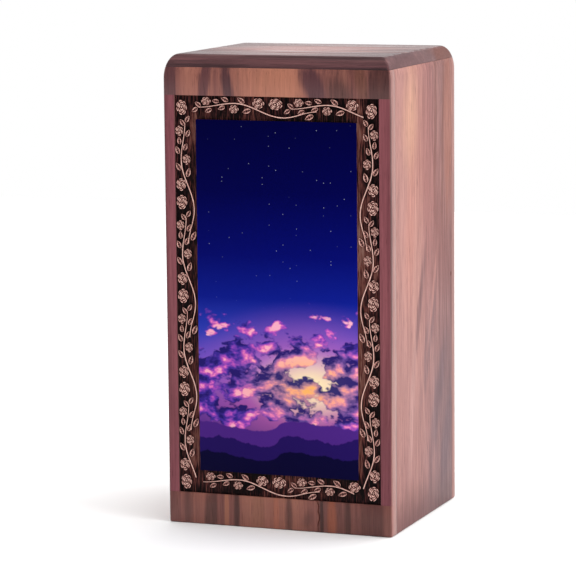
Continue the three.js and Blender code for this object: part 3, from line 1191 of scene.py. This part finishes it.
        def place(u: float, v: float) -> Vector:
            """A point at a share of the leaf's length and of its section.

            Args:
                u: The share of the length.
                v: The share of the section.

            Returns:
                The point.
            """
            share, level = across[round(v * (len(across) - 1))]
            half = math.sin(math.pi * u ** 0.82) ** 0.85 / 2 if 0 < u < 1 else 0.0
            side_vein = 0.12 * math.cos(2 * math.pi * 3.5 * (u - 0.35 * abs(share - 0.5)))
            lift = level + (side_vein if 0.7 < level < 0.8 else 0.0)
            return Vector((u - 0.5, half * (2 * share - 1), self.relief * min(lift, 1.0)))

        return formed_grid("leaf", self.leaf_steps, len(across) - 1, place)

    def swing(self, along: float) -> float:
        """How far out the stem is at a distance along its unit: half-cosine waves between its knots.

        Args:
            along: The distance along the unit.

        Returns:
            The distance out.
        """
        for (start, low), (end, high) in zip(self.stem_knots, self.stem_knots[1:]):
            if along <= end:
                share = (along - start) / (end - start)
                return low + (high - low) * (1 - math.cos(math.pi * share)) / 2
        return self.stem_knots[-1][1]

    def stem(self, run: Run, unit: int) -> Piece:
        """Models one unit's stem in its place.

        Args:
            run: The run that the stem belongs to.
            unit: The unit's number in the run.

        Returns:
            The stem, a low rounded strip that swells to its middle.
        """
        start, full = self.stem_knots[0][0], self.stem_knots[-1][0]
        end = run.stop if unit == run.units - 1 else full
        section = ((-1.0, -self.root / self.relief), (-1.0, 0.62), (-0.62, 0.92), (0.0, 1.0))
        across = section + tuple((-side, level) for side, level in reversed(section[:-1]))

        def place(u: float, v: float) -> Vector:
            """A point at a share of the stem's length and of its section.

            Args:
                u: The share of the length.
                v: The share of the section.

            Returns:
                The point.
            """
            side, level = across[round(v * (len(across) - 1))]
            along = start + (end - start) * u
            swell = math.sin(math.pi * (along - start) / (full - start))
            half = (self.stem_thin + (self.stem_thick - self.stem_thin) * swell) / 2
            spot = run.spot(unit, along, self.swing(along) + side * half)
            return Vector((spot.x, self.ground - self.relief * level, spot.y))

        return formed_grid("stem", self.stem_steps, len(across) - 1, place)

    def planted(
        self, shape: Piece, spot: Vector, long: float, wide: float, heading: float,
    ) -> Piece:
        """Puts a copy of a shape on the plate, with its own mesh.

        Args:
            shape: The shape to copy, a unit long and wide.
            spot: Its middle, as (X, Z).
            long: Its length along its heading.
            wide: Its width.
            heading: Its heading in radians.

        Returns:
            The copy.
        """
        made = shape.copy()
        made.data = shape.data.copy()
        bpy.context.collection.objects.link(made)
        made.data.transform(
            Matrix.Translation((spot.x, self.ground, spot.y))
            @ Matrix.Rotation(math.radians(90), 4, "X")
            @ Matrix.Rotation(heading, 4, "Z")
            @ Matrix.Diagonal((long, wide, 1.0, 1.0))
        )
        return made

    def build(self) -> Piece:
        """Builds the whole vine as one piece.

        Returns:
            The vine.
        """
        blooms = {kind: self.rose_shape(kind) for kind in Bloom}
        leaf = self.leaf_shape()
        placed: list[Piece] = []

        def add(shape: Piece, run: Run, unit: int, motif: Motif) -> None:
            """Plants one motif of a run's unit."""
            spot = run.spot(unit, motif.along, motif.out)
            placed.append(self.planted(shape, spot, motif.long, motif.wide, run.heading(motif.turn)))

        for run in self.runs():
            for unit in range(run.units):
                for kind, motif in self.roses:
                    add(blooms[kind], run, unit, motif)
                for motif in self.leaves[0 if unit or run.first_pair else 2:]:
                    add(leaf, run, unit, motif)
                if unit:
                    add(blooms[Bloom.OPEN], run, unit, self.main_bloom)
                    add(leaf, run, unit, self.tail_leaf)
                placed.append(self.stem(run, unit))
        for hand in (-1, 1):
            for line in (self.upper_line, self.lower_line()):
                spot = Vector((hand * self.corner_aside, line))
                rose = self.corner_rose
                placed.append(self.planted(
                    blooms[Bloom.OPEN], spot, rose.long, rose.wide, math.radians(90 - 8 * hand),
                ))
        for shape in (*blooms.values(), leaf):
            bpy.data.objects.remove(shape, do_unlink=True)
        clear_selection()
        for piece in placed:
            piece.select_set(True)
        bpy.context.view_layer.objects.active = placed[0]
        bpy.ops.object.join()
        vine = bpy.context.object
        vine.name = "rose_vine"
        bpy.ops.object.shade_smooth_by_angle(angle=RELIEF_ANGLE)
        return vine

    def dress(self, vine: Piece) -> None:
        """Gives the vine its wood and hands it to the frame.

        Args:
            vine: The vine.
        """
        vine.data.materials.clear()
        vine.data.materials.append(CarvedWood(face=self.ground - self.relief).material())
        install(vine, "plate_wood")


@dataclass
class EngravedPlate:
    """The front plate: wooden margins, a sunk burnt border and a printed field at full height."""

    border: float = 63.2 * MM
    field_half: float = 49.7 * MM
    field_bottom: float = 32.6 * MM
    field_top: float = 240.4 * MM
    relief: float = 1.2 * MM
    edge: float = 0.08 * MM

    def build(self, carcass: Carcass) -> Piece:
        """Builds the plate.

        Args:
            carcass: The boards, for their outer form.

        Returns:
            The plate.
        """
        near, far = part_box("engraved_plate")
        plate = carcass.board(carcass.form, "carved_plate", "engraved_plate")
        ring = add_block(
            "ring",
            Vector((-self.border, 2 * near.y, near.z - self.relief)),
            Vector((self.border, near.y + self.relief, far.z + self.relief)),
        )
        carve(ring, add_block(
            "field",
            Vector((-self.field_half, 3 * near.y, self.field_bottom)),
            Vector((self.field_half, 0.0, self.field_top)),
        ), Cut.TAKE_AWAY)
        carve(plate, ring, Cut.TAKE_AWAY)
        ease(plate, self.edge, EASED_ANGLE)
        return plate

    def dress(self, plate: Piece) -> None:
        """Gives the plate its wood, burnt ground and print, and hands it to the frame.

        Args:
            plate: The plate.
        """
        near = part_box("engraved_plate")[0]
        finishes = (
            PLATE_WOOD.material(),
            BurntGround().material(),
            PrintedSky(self.field_bottom, self.field_top).material(),
        )
        plate.data.materials.clear()
        for finish in finishes:
            plate.data.materials.append(finish)
        inner = self.field_half + 0.01 * MM
        for face in plate.data.polygons:
            spot = face.center
            inside = abs(spot.x) < self.border + 0.01 * MM
            on_field = abs(spot.x) < inner and self.field_bottom < spot.z < self.field_top
            if on_field and spot.y < near.y + 0.02 * MM:
                face.material_index = 2
            elif inside and spot.y < near.y + self.relief + 0.05 * MM:
                face.material_index = 1
        dress_ends(plate, EDGE_WOOD, EDGE_TILT)
        install(plate, "plate_wood", "engraved_plate")


@dataclass
class BaseFittings:
    """The base board and its four screws, which keep their solids."""

    def dress(self) -> None:
        """Gives the base and its screws their finishes."""
        finishes = {"base_board": BASE_WOOD.material()}
        brass = ScrewBrass().material()
        finishes.update({name: brass for name in frame["nodes"] if name.startswith("base_screw")})
        for name, finish in finishes.items():
            node = frame["nodes"][name]
            node.data.materials.clear()
            node.data.materials.append(finish)
            LOG.info("%s dressed", name)


@dataclass(frozen=True)
class Softbox:
    """One soft light: where it hangs, its width and height in metres, and its power in watts."""

    name: str
    spot: tuple[float, float, float]
    size: tuple[float, float]
    power: float

    def hang(self, aim: Vector) -> None:
        """Adds the light.

        Args:
            aim: The point that it faces.
        """
        data = bpy.data.lights.new(self.name, "AREA")
        data.shape = "RECTANGLE"
        data.size, data.size_y = self.size
        data.energy = self.power
        made = bpy.data.objects.new(self.name, data)
        bpy.context.scene.collection.objects.link(made)
        made.location = self.spot
        made.visible_glossy = False
        made.rotation_euler = (aim - Vector(self.spot)).to_track_quat("-Z", "Y").to_euler()


@dataclass
class Studio:
    """A pale floor, soft light from above and from the right, and the camera."""

    yaw: float = math.radians(20.97)
    pitch: float = math.radians(8.06)
    roll: float = math.radians(-0.54)
    target: Vector = field(default_factory=lambda: Vector((-16.1, 0.0, 134.5)) * MM)
    distance: float = 1830 * MM
    lens: float = 190.3
    sensor: float = 36.0
    floor_size: float = 3.0
    aim: Vector = field(default_factory=lambda: Vector((0.0, 0.0, 130 * MM)))
    lights: tuple[Softbox, ...] = (
        Softbox("overhead", (0.4, 0.6, 2.4), (2.6, 2.6), 76.0),
        Softbox("right", (2.0, -0.5, 0.9), (1.0, 1.2), 20.0),
    )

    def camera(self) -> None:
        """Sets up the camera."""
        back = Vector((
            math.sin(self.yaw) * math.cos(self.pitch),
            -math.cos(self.yaw) * math.cos(self.pitch),
            math.sin(self.pitch),
        ))
        level = Vector((math.cos(self.yaw), math.sin(self.yaw), 0.0))
        upright = back.cross(level)
        right = level * math.cos(self.roll) + upright * math.sin(self.roll)
        up = upright * math.cos(self.roll) - level * math.sin(self.roll)
        data = bpy.data.cameras.new("camera")
        data.lens = self.lens
        data.sensor_width = self.sensor
        data.clip_start = 0.05
        made = bpy.data.objects.new("camera", data)
        bpy.context.scene.collection.objects.link(made)
        turn = Matrix((right, up, back)).transposed().to_4x4()
        made.matrix_world = Matrix.Translation(self.target + back * self.distance) @ turn
        bpy.context.scene.camera = made

    def floor(self) -> None:
        """Adds the floor."""
        clear_selection()
        bpy.ops.mesh.primitive_plane_add(size=self.floor_size)
        made = bpy.context.object
        made.name = "floor"
        material, tree, shader = blank_material("matt white paper")
        feed(tree, shader, {"Base Color": linear("fafafa"), "Roughness": 0.9})
        made.data.materials.append(material)
        made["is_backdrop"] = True

    def surroundings(self) -> None:
        """A white room: full white to the camera, gentler as light, dark in front and above in gloss."""
        world = bpy.data.worlds.new("white room")
        bpy.context.scene.world = world
        world.use_nodes = True
        tree = world.node_tree
        way = put(tree, "TexCoord", out="Generated")
        behind = put(tree, "MapRange", {}, {
            "Value": put(tree, "SeparateXYZ", {}, {"Vector": way}, out=1),
            "From Min": -0.4, "From Max": 0.2, "To Min": 0.08, "To Max": 1.0,
        })
        low = put(tree, "MapRange", {}, {
            "Value": put(tree, "SeparateXYZ", {}, {"Vector": way}, out=2),
            "From Min": 0.25, "From Max": 0.7, "To Min": 1.0, "To Max": 0.12,
        })
        shown = put(tree, "Math", {"operation": "MULTIPLY"}, {0: behind, 1: low})
        lit = put(tree, "Mix", {"data_type": "FLOAT"}, {
            0: put(tree, "LightPath", out="Is Diffuse Ray"), 2: shown, 3: 0.55,
        })
        strength = put(tree, "Mix", {"data_type": "FLOAT"}, {
            0: put(tree, "LightPath", out="Is Camera Ray"), 2: lit, 3: 1.0,
        })
        feed(tree, tree.nodes["Background"], {"Color": linear("ffffff"), "Strength": strength})

    def build(self) -> None:
        """Builds the whole studio."""
        self.camera()
        self.floor()
        self.surroundings()
        for light in self.lights:
            light.hang(self.aim)
        bpy.context.scene.view_settings.view_transform = "Standard"


FRONT_WOOD = Rosewood(
    name="figured rosewood, front",
    tones=((0.0, "5c383a"), (0.35, "85524a"), (0.65, "a56a5a"), (1.0, "b87c66")),
    figure=(
        (0.0, "623a3d"), (0.05, "7a4a48"), (0.1, "a06558"), (0.17, "9a6054"), (0.24, "7c4b48"),
        (0.3, "8a554d"), (0.35, "b0725f"), (0.56, "b4745f"), (0.63, "925a50"), (0.7, "744743"),
        (0.86, "6a3e3a"), (1.0, "603837"),
    ),
    figure_share=0.72,
    shift=(0.013, 0.4, 0.07),
    wander=3 * MM,
    lines=0.1,
    patches=(
        Patch((-66, -60, 262), (4, 40, 40), "58353a", 0.8),
        Patch((-43.5, -60, 264), (4.5, 40, 22), "5c373c", 0.85, 8),
        Patch((-29.5, -60, 258), (4, 40, 26), "4e3036", 0.9, -8),
        Patch((2, -60, 258), (16, 40, 18), "b87860", 0.6),
        Patch((23, -60, 261), (7, 40, 15), "56343a", 0.9, -28),
        Patch((40, -60, 256), (8, 40, 14), "4e302f", 0.75, -14),
        Patch((53, -60, 264), (4, 40, 12), "6e4438", 0.7, -10),
        Patch((64, -60, 262), (7, 40, 30), "472a2a", 0.75),
        Patch((0, -60, 0), (120, 40, 40), "6b3f39", 0.55, 0, 0.8, 0.3),
        Patch((-58, -60, 8), (3, 40, 24), "5a3836", 0.7),
        Patch((-44, -60, 8), (4, 40, 22), "523330", 0.75, 4),
        Patch((-33.5, -60, 9), (1.6, 40, 22), "a0654f", 0.8),
        Patch((-27, -60, 9), (2.4, 40, 22), "472c2a", 0.8),
        Patch((-14, -60, 8), (5, 40, 20), "8a5a49", 0.7),
        Patch((-2, -60, 8), (2, 40, 20), "9e5c48", 0.75),
        Patch((6, -60, 8), (2.6, 40, 20), "54332f", 0.75),
        Patch((17, -60, 7), (4, 40, 7), "4c2e2a", 0.5, 20, 0.9, 1.8),
        Patch((26.5, -60, 9), (1.3, 40, 22), "38211f", 0.8),
        Patch((33, -60, 8), (3.4, 40, 18), "9a543c", 0.75),
        Patch((43, -60, 8), (2.6, 40, 22), "472a26", 0.75),
        Patch((58, -60, 8), (9, 40, 24), "52302c", 0.6),
    ),
)
PLATE_WOOD = Rosewood(
    name="red rosewood, plate",
    tones=((0.0, "6a3a42"), (0.4, "7f484f"), (0.7, "8e545a"), (1.0, "9c6266")),
    figure=(
        (0.0, "5f353b"), (0.02, "7c464d"), (0.06, "8a5057"), (0.94, "8e5258"), (0.98, "8a4f55"),
        (1.0, "5c3338"),
    ),
    shift=(0.31, 0.1, 0.55),
    band=5 * MM,
    wander=1 * MM,
    specular=0.08,
    patches=(Patch((66, -60, 50), (6, 40, 80), "643840", 0.5, 0, 0.9, 0.4),),
)
EDGE_WOOD = Rosewood(
    name="pale rosewood, front edges",
    tones=((0.0, "80544f"), (0.4, "946660"), (0.7, "a0726a"), (1.0, "ae8278")),
    # The darkest first stops paint shade: a thin dark line along the front arris of the ends.
    figure=((0.0, "4a2b2d"), (0.12, "5e3a3a"), (0.26, "946660"), (0.88, "a0736c"), (1.0, "7a4d48")),
    figure_share=0.8,
    figure_axis=1,
    figure_span=(-60 * MM, -50 * MM),
    shift=(0.4, 0.8, 0.35),
    band=5 * MM,
    lines=0.1,
    specular=0.25,
)
TOP_WOOD = Rosewood(
    name="dark rosewood, top",
    tones=((0.0, "3e282b"), (0.4, "55383b"), (0.7, "6c4849"), (1.0, "86605e")),
    figure=((0.0, "563a3d"), (0.3, "4c3236"), (0.55, "5f403f"), (0.8, "6a4643"), (1.0, "54393b")),
    grain=Grain.ACROSS,
    figure_axis=1,
    figure_span=(-60 * MM, 60 * MM),
    figure_share=0.4,
    shift=(0.2, 0.7, 0.3),
    band=8 * MM,
    streak=2.6 * MM,
    wander=3 * MM,
    lines=0.42,
    specular=0.5,
    roughness=0.33,
    gloss_swing=0.22,
    patches=(
        # The first patch is a painted reflection: a pale sheen laid over the top face, besides the shader's
        # own gloss. The second is a darker band along the lower part of the front edge.
        Patch((0, 4, 280), (64, 50, 5), "b07a74", 0.75, 0, 0.6, 2.4),
        Patch((0, -62, 270), (110, 6, 3.4), "38242a", 0.75, 0, 0.8, 0.6),
    ),
)
TOP_END_WOOD = replace(
    TOP_WOOD,
    name="end grain of the top",
    lines=0.15,
    streak=1.4 * MM,
    specular=0.32,
    roughness=0.42,
    gloss_swing=0.03,
    patches=(
        Patch((70, 0, 270), (9, 70, 9), "5e3a3b", 0.7, 0, 0.6),
        Patch((70, 42, 275), (12, 20, 10), "602818", 0.9),
    ),
)
SIDE_WOOD = Rosewood(
    name="straight rosewood, sides",
    tones=((0.0, "80524f"), (0.4, "9a6962"), (0.7, "ab7b72"), (1.0, "b98a7e")),
    figure=(
        (0.0, "a87d77"), (0.2, "ac7f78"), (0.38, "a6756b"), (0.55, "8a5855"), (0.75, "6c3e3e"),
        (1.0, "683a38"),
    ),
    figure_axis=1,
    figure_span=(-60 * MM, 60 * MM),
    shift=(0.05, 0.2, 0.9),
    band=7 * MM,
    streak=1.4 * MM,
    lines=0.19,
    pore_share=0.5,
    figure_share=0.7,
    specular=0.15,
    roughness=0.42,
    patches=(
        # This patch is a painted highlight: a pale glow at the top of the front edge.
        Patch((70, -24, 240), (40, 15, 36), "c2937c", 0.7, -4, 0.9),
        Patch((70, -26, 170), (40, 12, 50), "b27a6e", 0.7, -6, 0.9),
        Patch((70, 22, 240), (40, 3, 60), "74443c", 0.85, -2),
        Patch((70, 36, 225), (40, 3, 70), "704038", 0.8, -2),
        Patch((70, 46, 235), (40, 10, 60), "9c5a42", 0.45),
        Patch((70, -8, 128), (40, 5, 40), "6c4446", 0.85, -16, 0.6, 1.5),
        Patch((70, 8, 104), (40, 7, 44), "6e484a", 0.85, -20, 0.6, 1.5),
        Patch((70, 24, 64), (40, 9, 44), "583640", 0.85, -24, 0.6, 1.5),
        Patch((70, 40, 34), (40, 9, 36), "543543", 0.9, -18, 0.6, 1.5),
        Patch((70, 12, 30), (40, 4, 26), "643b3e", 0.8, -10, 0.6, 1.5),
        Patch((70, -20, 30), (40, 60, 110), "8c615f", 0.5, 0, 0.9, 0.4),
        Patch((70, 52, 30), (40, 40, 110), "5c383f", 0.75, 0, 0.9, 0.4),
        # This patch is painted shade: the side darkens towards the floor.
        Patch((70, 0, 0), (40, 120, 24), "5e3b3c", 0.75, 0, 0.9, 0.4),
        Patch((70, -22, 70), (40, 5, 60), "b58a84", 0.6, -8, 0.9),
        Patch((70, 16, 130), (40, 3, 36), "b47c72", 0.6, -18, 0.9),
    ),
)
BACK_WOOD = Rosewood(
    name="straight rosewood, back",
    tones=((0.0, "6c4a48"), (0.4, "8c605a"), (0.7, "a4746a"), (1.0, "b88474")),
    figure=((0.0, "946660"), (0.3, "a87668"), (0.5, "885c58"), (0.75, "a06e62"), (1.0, "8e625c")),
    shift=(0.6, 0.3, 0.2),
)
BASE_WOOD = Rosewood(
    name="planed rosewood, base",
    tones=((0.0, "5c403c"), (0.5, "7c5850"), (1.0, "967062")),
    figure=((0.0, "7a564e"), (1.0, "866056")),
    grain=Grain.ACROSS,
    figure_axis=1,
    figure_span=(-60 * MM, 60 * MM),
    shift=(0.8, 0.9, 0.1),
    roughness=0.55,
)
END_WOODS = {"front_board": (EDGE_WOOD, EDGE_TILT), "top_board": (TOP_END_WOOD, TOP_TILT)}
BOARD_WOODS = {
    "top_board": TOP_WOOD,
    "front_board": FRONT_WOOD,
    "back_board": BACK_WOOD,
    "left_side_board": SIDE_WOOD,
    "right_side_board": SIDE_WOOD,
}


def main() -> None:
    """Builds the studio, then every sub-assembly in order."""
    logging.basicConfig(level=logging.INFO, format="%(name)s: %(message)s")
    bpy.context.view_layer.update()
    Studio().build()
    carcass = Carcass()
    boards = carcass.build()
    carcass.dress(boards)
    plate = EngravedPlate()
    plate.dress(plate.build(carcass))
    vine = RoseVine()
    vine.dress(vine.build())
    BaseFittings().dress()
    bpy.data.objects.remove(carcass.form, do_unlink=True)


if __name__ == "__main__":
    main()
